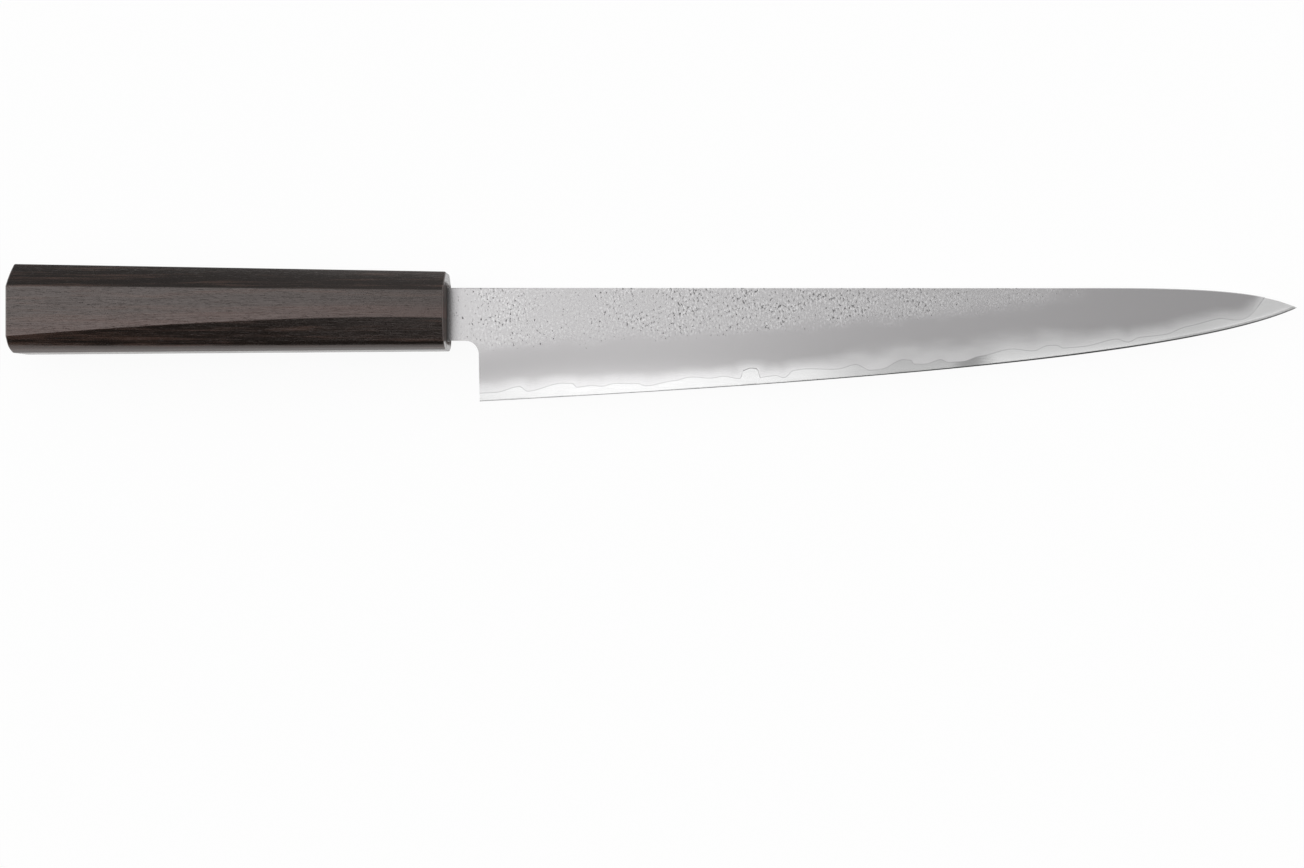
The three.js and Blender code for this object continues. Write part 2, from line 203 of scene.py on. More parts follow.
class Finishes(bpy.types.PropertyGroup):
    """Colours of the knife."""

    ground: colour("Ground steel", "Satin bevel of a cladding", (0.545, 0.535, 0.54))
    skin: colour("Skin", "Forged face of a cladding", (0.60, 0.59, 0.595))
    # The haze colour is the steel's own pale finish, and also the painted highlight on the
    # pear-skin high spots.
    haze: colour("Haze", "Pale steel above the cladding rim", (0.84, 0.835, 0.84))
    # The pit colour is painted shade in the pear-skin pits and at the neck by the handle; it also
    # darkens the rim lines and the core's duller middle.
    pit: colour("Pit", "Bottom of a pear-skin pit", (0.15, 0.147, 0.149))
    core: colour("Core", "Polished hard steel", (0.84, 0.84, 0.84))
    tip: colour("Tip", "Hard steel at the tip, polished brighter", (0.94, 0.94, 0.94))
    edge: colour("Edge", "Honed bevel along the edge", (0.45, 0.45, 0.45))
    wood_dark: colour("Dark wood", "Ground of the wood", (0.007, 0.0054, 0.0044))
    wood_brown: colour("Brown wood", "Streaks of the wood", (0.044, 0.025, 0.019))
    wood_red: colour("Red wood", "Redder band above the ridge", (0.045, 0.019, 0.014))
    wood_sheen: colour("Wood sheen", "Tint of the shine on the wood", (1.0, 0.885, 0.855))
    seal: colour("Seal", "Dark filler at the mouth", (0.012, 0.011, 0.010))
    resin: colour("Resin", "Filler around the tang", (0.15, 0.10, 0.045))
    floor: colour("Floor", "Pale floor", (0.82, 0.82, 0.82))


class StageSizes(bpy.types.PropertyGroup):
    """Camera and light."""

    view_distance: size("Camera distance", "Camera above the blade", 485.7 * MM)
    view_width: size("View width", "Width of the picture at the blade", 430.8 * MM)
    view_x: size("View middle", "Picture's middle along the knife", 138.3 * MM)
    view_drop: size("View drop", "Picture's middle below the handle's", 40.4 * MM)
    floor_radius: size("Floor radius", "Size of the floor", 4.0)
    floor_gap: size("Floor gap", "Floor below the knife", 0.2 * MM)
    floor_glow: amount("Floor glow", "Share of the white that needs no light", 0.932)
    card_glow_butt: amount("Card glow, butt", "Brightness behind the butt", 0.2)
    card_glow_front: amount("Card glow, front", "Brightness by the handle front", 0.31)
    card_distance: size("Card distance", "From the middle of the knife", 0.06)
    card_reach: size("Card reach", "Behind the butt", 0.03)
    card_width: size("Card width", "Along the handle", 0.19)
    card_height: size("Card height", "Above the floor", 0.06)


# Shader maths


class Value:
    """A number in a node tree: arithmetic on it adds Math nodes."""

    def __init__(self, paint, socket):
        self.paint = paint
        self.socket = socket

    def math(self, operation, first, second):
        node = self.paint.node("ShaderNodeMath", {0: first, 1: second}, {"operation": operation})
        return Value(self.paint, node.outputs[0])

    def __add__(self, other):
        return self.math("ADD", self, other)

    __radd__ = __add__

    def __sub__(self, other):
        return self.math("SUBTRACT", self, other)

    def __rsub__(self, other):
        return self.math("SUBTRACT", other, self)

    def __mul__(self, other):
        return self.math("MULTIPLY", self, other)

    __rmul__ = __mul__

    def at_least(self, other):
        return self.math("MAXIMUM", self, other)

    def at_most(self, other):
        return self.math("MINIMUM", self, other)


class Paint:
    """Adds nodes to one node tree."""

    def __init__(self, tree):
        self.tree = tree
        tree.nodes.clear()

    def node(self, kind, inputs=None, settings=None):
        made = self.tree.nodes.new(kind)
        for name, value in (settings or {}).items():
            setattr(made, name, value)
        for name, value in (inputs or {}).items():
            if isinstance(value, Value):
                value = value.socket
            if isinstance(value, bpy.types.NodeSocket):
                self.tree.links.new(value, made.inputs[name])
            else:
                made.inputs[name].default_value = value
        return made

    def millimetres(self):
        """Place on the piece, in millimetres."""
        place = self.node("ShaderNodeTexCoord").outputs["Object"]
        inputs = {0: place, "Scale": 1 / MM}
        return self.node("ShaderNodeVectorMath", inputs, {"operation": "SCALE"}).outputs[0]

    def reach(self, place):
        """How far in front of the handle, in millimetres."""
        along, _, _ = self.parts(place)
        return along - HANDLE_FRONT / MM

    def noise(self, place, lengths, turn=0.0, detail=2.0, roughness=0.5, dimensions="3D"):
        """Noise about as coarse as these lengths, turned about Z."""
        stretch = {"Vector": place, "Rotation": (0, 0, turn), "Scale": [1 / x for x in lengths]}
        vector = self.node("ShaderNodeMapping", stretch, {"vector_type": "POINT"}).outputs[0]
        inputs = {"Vector": vector, "Scale": 1, "Detail": detail, "Roughness": roughness}
        node = self.node("ShaderNodeTexNoise", inputs, {"noise_dimensions": dimensions})
        return Value(self, node.outputs[0])

    def normal(self):
        """Way the surface faces, as X, Y and Z."""
        return self.parts(self.node("ShaderNodeTexCoord").outputs["Normal"])

    def attribute(self, name):
        node = self.node("ShaderNodeAttribute", None, {"attribute_name": name})
        return Value(self, node.outputs["Fac"])

    def parts(self, vector):
        node = self.node("ShaderNodeSeparateXYZ", {0: vector})
        return [Value(self, socket) for socket in node.outputs]

    def ease(self, value, low, high, start=0.0, end=1.0):
        """Goes smoothly from start to end while the value goes from low to high."""
        limits = {"From Min": low, "From Max": high, "To Min": start, "To Max": end}
        inputs = {"Value": value, **limits}
        node = self.node("ShaderNodeMapRange", inputs, {"interpolation_type": "SMOOTHSTEP"})
        return Value(self, node.outputs[0])

    def fall(self, value, low, high):
        """Goes smoothly from 1 to 0 while the value goes from low to high."""
        return self.ease(value, low, high, 1.0, 0.0)

    def blend(self, factor, first, second):
        """Mix of two colours."""
        inputs = {0: factor, 6: opaque(first), 7: opaque(second)}
        return self.node("ShaderNodeMix", inputs, {"data_type": "RGBA"}).outputs[2]

    def relief(self, height, depth, strength=1.0):
        """Bump from a height of 0 to 1 that stands for this depth in metres."""
        inputs = {"Height": height, "Distance": depth, "Strength": strength}
        return self.node("ShaderNodeBump", inputs).outputs[0]

    def surface(self, inputs):
        self.output(self.node("ShaderNodeBsdfPrincipled", inputs))

    def output(self, shader, kind="Material"):
        self.node("ShaderNodeOutput" + kind, {"Surface": shader.outputs[0]})


def opaque(value):
    """A colour as a node socket takes it, or the socket that gives one."""
    return value if isinstance(value, bpy.types.NodeSocket) else (*value, 1.0)


def times(tint, factor):
    """A colour made lighter or darker."""
    return [part * factor for part in tint]


def new_material(name):
    material = bpy.data.materials.new(name)
    material.use_nodes = True
    return material, Paint(material.node_tree)


# Finishes


def pear_skin(paint, place, over_edge, reach):
    """Forged skin above the grind: how deep its pits are, how much painted highlight its high spots
    get, and where it is.

    Lengths are in millimetres, along the blade from the handle front and up from the edge.
    """
    drift = paint.noise(place, (9, 7, 9), detail=3)
    skin = paint.ease(over_edge + drift * 7, 18.5, 25.0)
    skin = skin * paint.fall(reach + drift * 40, 212, 236)
    heel = paint.ease(reach, 4, 14, 0.15, 0.68) * paint.ease(reach, 22, 31, 1.0, 0.6)
    middle = paint.ease(reach, 38, 95, 0.0, 0.8) * paint.ease(reach, 128, 190, 1.0, 0.35)
    crowd = paint.ease(paint.noise(place, (11, 6, 11), detail=3), 0.34, 0.62)
    density = skin * (heel + middle).at_most(1) * (crowd * 0.55 + 0.45)
    lean = math.radians(-16)
    grain = paint.noise(place, (0.66, 0.98, 1), lean, detail=1.5, dimensions="2D")
    specks = paint.noise(place, (1.2, 1.7, 1), lean, detail=2, dimensions="2D")
    small = paint.ease(grain + density * 0.16, 0.75, 0.85)
    large = paint.ease(specks + density * 0.09, 0.77, 0.82)
    # Painted shade: the pits are later darkened in colour as the shade in their hollows; they also
    # shape the bump and roughness.
    pits = small.at_least(large) * paint.ease(skin, 0.0, 0.15)
    # Painted highlight: the pale high spots are later lightened in colour as highlight; they also
    # raise the bump.
    pale = paint.fall(grain, 0.32, 0.50) * density
    return pits, pale, skin


def cladding_steel(colours):
    """Satin ground steel with painted shade and highlight: pear-skin pits above the grind, a pale
    haze along the rim.
    """
    material, paint = new_material("cladding_steel")
    place = paint.millimetres()
    reach = paint.reach(place)
    over_edge = paint.attribute("over_edge")
    over_rim = paint.attribute("over_rim")
    pits, pale, skin = pear_skin(paint, place, over_edge, reach)
    brushed = (paint.noise(place, (0.35, 9, 9), detail=3) - 0.5) * (1 - skin)
    cloud = paint.noise(place, (10, 3, 10), detail=2)
    worn = paint.ease(reach, 112, 142)
    spread = worn * paint.ease(reach, 195, 230, 0.45, 0.1)
    height = (over_rim * 0.6 + over_edge * 0.4 - 1.2) * (1 - spread) + (cloud - 0.5) * 1.5
    dimmed = worn * paint.fall(reach, 172, 188)
    dimmed = dimmed * paint.ease(over_rim, 0.0, 3.5, 0.5, 0.15)
    low_haze = paint.fall(height, -0.5, 4.8) * (1 - dimmed)
    haze = low_haze.at_least(paint.ease(reach - over_edge * 0.9, 257.5, 263))
    strength = paint.ease(over_edge, 4.5, 5.1, 0.35, 0.9) * paint.ease(reach, 256, 264, 1.0, 0.45)
    line = paint.fall(over_rim, 0.05, 0.26) * strength
    # Painted shade: the neck is darkened towards the handle front, standing in for the handle's
    # shadow and its dark reflection in the steel.
    mouth = paint.ease(reach, 0.0, 5.4, 0.45, 0.0) + paint.ease(reach, 0.2, 1.9, 0.35, 0.0)
    satin = paint.blend(skin, colours.ground, colours.skin)
    # Painted highlight: the pale high spots are lightened towards the haze colour.
    painted_highlights = paint.blend(pale * 0.7, satin, colours.haze)
    steel = paint.blend(haze, painted_highlights, colours.haze)
    # The rim line is the steel's own dark line; the mouth term adds the painted shade.
    lined = paint.blend(line + mouth, steel, colours.pit)
    # Painted shade: the pits are darkened towards the pit colour, on top of their bump.
    paint.surface({
        "Base Color": paint.blend(pits * 0.86, lined, colours.pit),
        "Metallic": 1.0,
        "Roughness": 0.20 + skin * 0.07 + haze * 0.06 + brushed * 0.05 + pits * 0.15,
        "Normal": paint.relief(brushed * 0.02 + pale * 0.3 - pits, 0.05 * MM, 0.9),
    })
    return material


def core_metal(colours):
    """Polished hard steel, finely stoned, duller along its middle, with a darker bevel on the edge.

    The stone has run further up from the edge near the tip.
    """
    material, paint = new_material("core_steel")
    place = paint.millimetres()
    reach = paint.reach(place)
    over_edge = paint.attribute("over_edge")
    over_rim = paint.attribute("over_rim")
    _, facing, _ = paint.normal()
    stoned = paint.noise(place, (6, 0.12, 6), turn=math.radians(3), detail=3)
    cloud = paint.noise(place, (8, 2, 8), detail=2)
    line = paint.ease(over_rim, -0.14, -0.02)
    bevel = paint.fall(facing, -0.20, -0.15)
    stone = paint.ease(reach, 222, 250, 0.0, 0.85) * paint.fall(over_edge, 0.75, 1.2)
    fade = paint.ease(reach + (cloud - 0.5) * 10, 116, 148, 0.0, 0.36)
    fade = fade + paint.ease(reach, 165, 171, 0.0, 0.3)
    dull = fade * paint.fall(reach + (stoned - 0.5) * 12, 173, 183) * (stoned * 0.6 + 0.7)
    bright = paint.blend(paint.ease(reach, 246, 262), colours.core, colours.tip)
    polished = paint.blend(dull, bright, colours.pit)
    lined = paint.blend(line * 0.2, polished, colours.pit)
    paint.surface({
        "Base Color": paint.blend(bevel.at_least(stone), lined, colours.edge),
        "Metallic": 1.0,
        "Roughness": 0.24 + (stoned - 0.5) * 0.1 - bevel * 0.08,
        "Normal": paint.relief(stoned, 0.002 * MM, 0.5),
    })
    return material


def dark_wood(colours):
    """Oiled wood with open pores: browner low down, redder above the ridge, dull at the mouth."""
    material, paint = new_material("handle_wood")
    place = paint.millimetres()
    along, across, _ = paint.parts(place)
    over_ridge = paint.attribute("over_ridge")
    lengthways, _, _ = paint.normal()
    ends = paint.ease(lengthways * lengthways, 0.7, 0.9)
    slope = math.radians(1.5)
    broad = paint.noise(place, (60, 4.5, 5.5), slope, detail=2)
    band = paint.noise(place, (45, 1.6, 2.0), slope, detail=4, roughness=0.6)
    fibre = paint.noise(place, (11, 0.36, 0.45), slope, detail=3, roughness=0.65)
    short = paint.noise(place, (2.4, 0.22, 0.26), slope, detail=2)
    pores = paint.ease(short, 0.56, 0.76)
    dust = paint.ease(paint.noise(place, (0.8, 0.3, 0.3), detail=1), 0.77, 0.83)
    smear = across + (band - 0.5) * 5
    top, foot = SEAL_HIGH.y / MM, SEAL_LOW.y / MM
    under_top = paint.fall(smear, top - 0.4, top + 1.6)
    over_foot = paint.ease(smear, foot - 1.6, foot + 0.4)
    mouth = paint.ease(lengthways, 0.8, 0.9) * under_top * over_foot
    warm = paint.fall(across + (broad - 0.5) * 14, -8, 7)
    richer = warm * paint.ease(along, -60, 60, 0.09, 0.02)
    streak = paint.ease(band * 0.7 + fibre * 0.3 + richer, 0.50, 0.66)
    ground = paint.blend(warm * 0.1, colours.wood_dark, colours.wood_brown)
    streaked = paint.blend(streak, ground, colours.wood_brown)
    red = paint.ease(over_ridge, -0.3, 0.3) * paint.fall(over_ridge, 1.5, 6.0)
    reddened = paint.blend(red * (band + 0.2), streaked, colours.wood_red)
    porous = paint.blend(pores * 0.5, reddened, times(colours.wood_dark, 0.4))
    base = paint.blend(dust * 0.25, porous, times(colours.wood_brown, 2.5))
    uneven = 0.22 + (fibre - 0.5) * 0.48 + (band - 0.5) * 0.16
    paint.surface({
        "Base Color": base,
        "Roughness": uneven + pores * 0.1 - ends * 0.1 + mouth * 0.85,
        "Specular IOR Level": 1.0,
        "Specular Tint": opaque(colours.wood_sheen),
        "Normal": paint.relief(fibre * 1.4 - pores * 0.5, 0.035 * MM, 0.8),
    })
    return material


def dark_filler(colours):
    """Smooth dark filler, slightly uneven."""
    material, paint = new_material("mouth_seal")
    place = paint.millimetres()
    uneven = paint.noise(place, (1.2, 1.2, 1.2), detail=2)
    paint.surface({
        "Base Color": paint.blend(uneven, colours.seal, times(colours.seal, 1.8)),
        "Roughness": 0.32 + uneven * 0.15,
        "Normal": paint.relief(uneven, 0.04 * MM, 0.5),
    })
    return material


def amber_resin(colours):
    """Cast resin with darker clouds."""
    material, paint = new_material("tang_resin")
    place = paint.millimetres()
    cloud = paint.noise(place, (6, 4, 4), detail=3)
    paint.surface({
        "Base Color": paint.blend(cloud, colours.resin, times(colours.resin, 0.5)),
        "Roughness": 0.3 + cloud * 0.15,
        "Normal": paint.relief(cloud, 0.05 * MM, 0.4),
    })
    return material


# Shapes


def bezier(*corners):
    """A cubic curve as its X places and the Y at each."""
    way = np.linspace(0, 1, CURVE_POINTS)[:, None]
    weights = ((1 - way) ** 3, 3 * way * (1 - way) ** 2, 3 * way**2 * (1 - way), way**3)
    return sum(weight * np.array(corner) for weight, corner in zip(weights, corners)).T


class Blade:
    """Outline, rim and thickness of the blade."""

    NOSE = 0.96  # share of the edge at which the rim reaches the spine

    def __init__(self, sizes):
        self.sizes = sizes
        self.heel_y = sizes.spine_rise - sizes.blade_height
        self.neck_y = sizes.spine_rise - sizes.neck_height
        self.tip_x = sizes.heel_reach + sizes.edge_length
        self.nose_x = sizes.heel_reach + sizes.edge_length * self.NOSE
        tip = (self.tip_x, sizes.spine_rise - sizes.tip_drop)
        self.edge_line = bezier(
            (sizes.heel_reach, self.heel_y),
            (sizes.heel_reach + sizes.edge_pull, self.heel_y + sizes.edge_pull * sizes.edge_slope),
            (tip[0] - sizes.belly_pull, tip[1] - sizes.belly_pull * sizes.belly_slope),
            tip,
        )
        curve_start = self.tip_x - sizes.spine_curve
        self.spine_line = bezier(
            (curve_start, sizes.spine_rise),
            (curve_start + sizes.spine_pull, sizes.spine_rise),
            (self.tip_x - sizes.nose_pull, sizes.spine_rise),
            tip,
        )
        self.tang_top = sizes.spine_rise - sizes.tang_top_step
        self.tang_bottom = self.neck_y + sizes.tang_bottom_step

    def edge(self, x):
        return float(np.interp(x, *self.edge_line))

    def height(self, x):
        return float(np.interp(x, *self.spine_line)) - self.edge(x)

    def rim(self, x):
        """Height of the cladding rim above the edge: wavy, then climbing to the spine."""
        share = (x - self.sizes.heel_reach) / self.sizes.edge_length
        places, waves = np.array(RIM_WAVES).T
        last = int(np.clip(np.searchsorted(places, share), 1, len(places) - 1))
        way = np.clip((share - places[last - 1]) / (places[last] - places[last - 1]), 0, 1)
        swing = (1 - math.cos(math.pi * way)) / 2
        wave = float(waves[last - 1] + (waves[last] - waves[last - 1]) * swing) * MM
        climb = float(np.clip(1 - (self.nose_x - x) / self.sizes.climb, 0, 1))
        return wave + (self.height(x) - wave) * climb**3

    def rim_line(self):
        """Close points along the rim of the claddings, from the heel to the nose."""
        xs = np.arange(self.sizes.heel_reach, self.nose_x, RIM_STEP)
        return xs, np.array([self.edge(x) + self.rim(x) for x in xs])


class Section:
    """The blade at one place along it. Levels 0 to 4 are the edge, the top of its bevel,
    the cladding rim, the start of the spine's rounding and the spine."""

    # Most that the spine's rounding, the edge bevel and the grind take of the height.
    EASE_SHARE, BEVEL_SHARE, GRIND_SHARE = 0.1, 0.45, 0.93
    CORE_SHARE = 0.7  # most of the thickness that the core takes under a cladding
    SWELLS = (1.5, 6)  # least and most swelling of the grind

    def __init__(self, blade, x):
        sizes = blade.sizes
        self.x = x
        self.sizes = sizes
        self.clad = x < blade.nose_x - TINY
        self.edge = blade.edge(x)
        self.height = blade.height(x)
        self.ease = min(sizes.spine_ease, self.height * self.EASE_SHARE)
        way = max(0, x - sizes.heel_reach) / sizes.edge_length
        grown = min(1, way / sizes.bevel_growth) ** 2
        bevel = sizes.heel_bevel + (sizes.tip_bevel - sizes.heel_bevel) * grown
        self.bevel = min(bevel, self.height * self.BEVEL_SHARE)
        rim = min(blade.rim(x), self.height - self.ease)
        self.levels = (0, self.bevel, max(rim, self.bevel), self.height - self.ease, self.height)
        thickness = sizes.spine_thickness + (sizes.tip_thickness - sizes.spine_thickness) * way
        self.bevel_half = sizes.edge_land + sizes.bevel_slope * self.bevel
        top_of_grind = min(sizes.grind_width, self.height * self.GRIND_SHARE)
        self.grind = max(top_of_grind - self.bevel, TINY)
        most = self.bevel_half + self.grind * sizes.grind_slope / 2
        self.flat_half = min(thickness / 2, most)
        swell = sizes.grind_slope * self.grind / max(self.flat_half - self.bevel_half, TINY)
        self.swell = float(np.clip(swell, *self.SWELLS))

    def over_edge(self, level):
        return float(np.interp(level, range(5), self.levels))

    def half(self, over_edge):
        """Half thickness of the whole blade at a height above the edge."""
        land = self.sizes.edge_land
        if over_edge < self.bevel:
            return land + (self.bevel_half - land) * over_edge / self.bevel
        way = min(1, (over_edge - self.bevel) / self.grind)
        half = self.bevel_half + (self.flat_half - self.bevel_half) * (1 - (1 - way) ** self.swell)
        into = self.ease - (self.height - over_edge)
        if into > 0:
            half -= self.ease - math.sqrt(max(0, self.ease**2 - into**2))
        return max(half, land)

    def seam(self, over_edge):
        """Half thickness of the core where a cladding covers it."""
        return min(self.sizes.core_thickness / 2, self.CORE_SHARE * self.half(over_edge))


def lattice(bm, columns, rows, place):
    """A grid of faces with its corners put where place says for each column and row."""
    wide, tall = len(columns) - 1, len(rows) - 1
    made = bmesh.ops.create_grid(bm, x_segments=wide, y_segments=tall, size=0.5)
    for vertex in made["verts"]:
        column = columns[round((vertex.co.x + 0.5) * wide)]
        row = rows[round((vertex.co.y + 0.5) * tall)]
        vertex.co = place(column, row)


def choil_corners(blade):
    """Outline of the notch behind the heel, from the neck round to the edge."""
    sizes = blade.sizes
    radius = sizes.choil_radius
    back = sizes.heel_reach - sizes.choil_slant
    centre = Vector((back - radius, blade.neck_y - radius, 0))
    corners = [Vector((0, blade.neck_y, 0))]
    for step in range(CHOIL_STEPS + 1):
        turn = math.radians(90 - 90 * step / CHOIL_STEPS)
        corners.append(centre + radius * Vector((math.cos(turn), math.sin(turn), 0)))
    corners.append(Vector((sizes.heel_reach, blade.heel_y, 0)))
    return corners


def weld(bm):
    """Join points that lie on each other."""
    bmesh.ops.remove_doubles(bm, verts=bm.verts, dist=WELD)


def cut_notch(bm, corners):
    """Cut along a convex outline and remove the faces inside it."""
    reach = max(corner.x for corner in corners)
    inside = [face for face in bm.faces if min(v.co.x for v in face.verts) < reach]
    for start, end in zip(corners, corners[1:]):
        outward = Vector((start.y - end.y, end.x - start.x, 0)).normalized()
        edges = {edge for face in inside for edge in face.edges}
        points = {vertex for face in inside for vertex in face.verts}
        cut = bmesh.ops.bisect_plane(
            bm, geom=[*inside, *edges, *points], dist=TINY, plane_co=start, plane_no=outward
        )
        faces = [item for item in cut["geom"] if isinstance(item, bmesh.types.BMFace)]
        inside = [f for f in faces if (f.calc_center_median() - start).dot(outward) < 0]
    bmesh.ops.delete(bm, geom=inside, context="FACES")


def draw_tang(bm, blade):
    """Draw the tang out of the back of the neck, narrowing to its end."""
    sizes = blade.sizes
    top, bottom = blade.tang_top, blade.tang_bottom
    middle = (top + bottom) / 2
    slack = 0.01 * MM

    def at_root(vertex):
        level = bottom - slack < vertex.co.y < top + slack
        return level and vertex.co.x < SEAL_THICKNESS + slack

    root = [edge for edge in bm.edges if edge.is_boundary and all(map(at_root, edge.verts))]
    for x, narrowing in ((0, 1), (-sizes.tang_length, sizes.tang_end_height / (top - bottom))):
        drawn = bmesh.ops.extrude_edge_only(bm, edges=root)["geom"]
        points = [item for item in drawn if isinstance(item, bmesh.types.BMVert)]
        for vertex in points:
            vertex.co.x = x
            vertex.co.y = middle + (vertex.co.y - middle) * narrowing
        root = [
            item for item in drawn
            if isinstance(item, bmesh.types.BMEdge) and all(v in points for v in item.verts)
        ]


def thicken(bm, back):
    """Close a sheet into a solid whose other side has the thickness that back gives."""
    made = bmesh.ops.extrude_face_region(bm, geom=list(bm.faces))
    for item in made["geom"]:
        if isinstance(item, bmesh.types.BMVert):
            item.co.z = back(item.co)


def mark_heights(bm, blade):
    """Note each point's millimetres above the edge and above the rim."""
    over_edge = bm.verts.layers.float.new("over_edge")
    over_rim = bm.verts.layers.float.new("over_rim")
    rim_x, rim_y = blade.rim_line()
    for vertex in bm.verts:
        x, y, _ = vertex.co
        near = slice(*np.searchsorted(rim_x, (x - RIM_REACH, x + RIM_REACH)))
        gap = np.hypot(rim_x[near] - x, rim_y[near] - y).min(initial=RIM_REACH)
        vertex[over_edge] = (y - blade.edge(x)) / MM
        vertex[over_rim] = math.copysign(gap, y - np.interp(x, rim_x, rim_y)) / MM


def smooth_out(bm):
    """Turn the faces outwards and shade them smoothly."""
    bmesh.ops.recalc_face_normals(bm, faces=bm.faces)
    for face in bm.faces:
        face.smooth = True


def close_up(bm):
    """Weld the mesh, turn its faces outwards and keep its corners crisp."""
    weld(bm)
    bmesh.ops.dissolve_degenerate(bm, edges=bm.edges, dist=WELD / 2)
    smooth_out(bm)
    for edge in bm.edges:
        edge.smooth = edge.is_manifold and edge.calc_face_angle() < CRISP_ANGLE


def add_piece(bm, name, material):
    """Put a finished mesh in the scene."""
    mesh = bpy.data.meshes.new(name)
    bm.to_mesh(mesh)
    bm.free()
    mesh.materials.append(material)
    piece = bpy.data.objects.new(name, mesh)
    bpy.context.scene.collection.objects.link(piece)
    return piece


def keep(bm, name, material):
    """Put a piece of the knife in place of the CAD node with its name."""
    bmesh.ops.translate(bm, verts=bm.verts, vec=(HANDLE_FRONT, 0, MIDDLE))
    piece = add_piece(bm, f"{name}_dressed", material)
    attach(piece, "root")
    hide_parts(name)
    return piece


def along_blade(blade, end):
    """Sections from the shoulder of the neck to a place along the blade."""
    count = round((end - SEAL_THICKNESS) / BLADE_STEP)
    places = np.linspace(SEAL_THICKNESS, end, count + 1)
    return [Section(blade, float(x)) for x in places]


def upper_levels(blade):
    """Levels from the rim to the spine, two of them at the top and bottom of the tang."""
    neck = Section(blade, SEAL_THICKNESS)
    stops = [y - neck.edge for y in (blade.tang_bottom, blade.tang_top)]
    low, high = (2 + (stop - neck.levels[2]) / (neck.levels[3] - neck.levels[2]) for stop in stops)
    # Each span: its first level, the level after it and its rows.
    spans = ((2, 2.02, 2), (2.02, 2.1, 4), (2.1, low, 10), (low, high, 8), (high, 3, 2), (3, 4, 4))
    return [float(x) for a, b, n in spans for x in np.linspace(a, b, n, endpoint=False)] + [4.0]


def cladding_sheet(blade):
    """Outer face of a cladding, with its tang."""
    bm = bmesh.new()

    def place(section, level):
        above = section.over_edge(level)
        return (section.x, section.edge + above, section.half(above))

    lattice(bm, along_blade(blade, blade.nose_x), upper_levels(blade), place)
    weld(bm)
    cut_notch(bm, choil_corners(blade))
    draw_tang(bm, blade)
    return bm


def make_cladding(blade, hand):
    """A cladding: hand is 1 on the right side and -1 on the left."""
    bm = cladding_sheet(blade)

    def inner(place):
        section = Section(blade, max(place.x, SEAL_THICKNESS))
        return section.seam(min(place.y - section.edge, section.height / 2))

    thicken(bm, inner)
    mark_heights(bm, blade)
    for vertex in bm.verts:
        vertex.co.z *= hand
    close_up(bm)
    return bm


def make_core(blade):
    """The core: as thick as the blade up to the rim, thinner above it."""
    bm = bmesh.new()
    step = 2.001
    lower = [0.0, 0.5, 1.0, 1.12, 1.25, 1.4, 1.55, 1.7, 1.85, 2.0, step]

    def place(section, level):
        above = section.over_edge(level)
        covered = section.clad and level >= step
        half = section.seam(min(above, section.height / 2)) if covered else section.half(above)
        return (section.x, section.edge + above, half)

    rows = lower + upper_levels(blade)[1:]
    lattice(bm, along_blade(blade, blade.tip_x), rows, place)
    cut_notch(bm, choil_corners(blade))
    draw_tang(bm, blade)
    thicken(bm, lambda place: -place.z)
    mark_heights(bm, blade)
    close_up(bm)
    return bm


